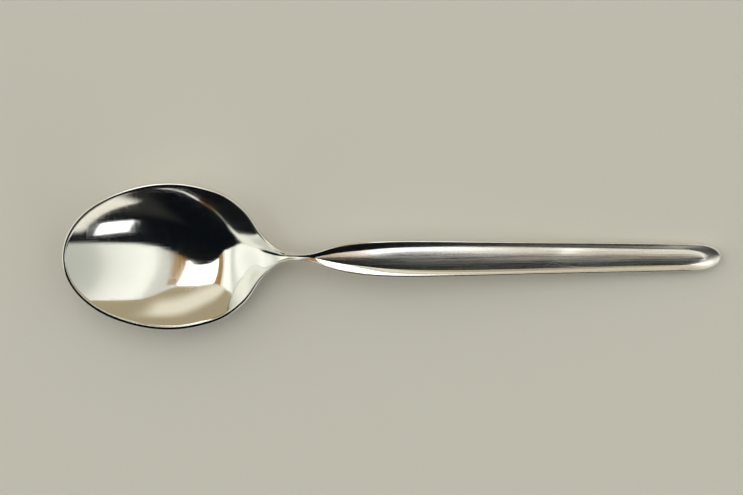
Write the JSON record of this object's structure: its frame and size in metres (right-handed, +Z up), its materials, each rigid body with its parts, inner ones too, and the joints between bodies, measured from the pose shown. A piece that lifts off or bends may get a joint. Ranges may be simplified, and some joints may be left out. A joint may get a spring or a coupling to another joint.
{
  "type": "teaspoon",
  "caption": "Stainless steel teaspoon with an egg-shaped mirror-polished bowl, a waisted neck and a slim handle whose raised edges frame a satin lens-shaped rib.",
  "frame": {"origin": "centre of the spoon's bounding box on the table it lies on", "axes": "+X along the spoon from the lip of the bowl towards the end of the handle, +Y across it, +Z up out of the bowl"},
  "size_m": [0.134, 0.0302, 0.0126],
  "materials": {
    "polished_steel": "mirror-polished stainless steel with faint hairline wear",
    "satin_steel": "satin stainless steel, brushed along the handle"
  },
  "bodies": {
    "root": {"bowl": "polished_steel", "neck": "polished_steel", "handle": "polished_steel", "handle_rib": "satin_steel"}
  },
  "joints": []
}
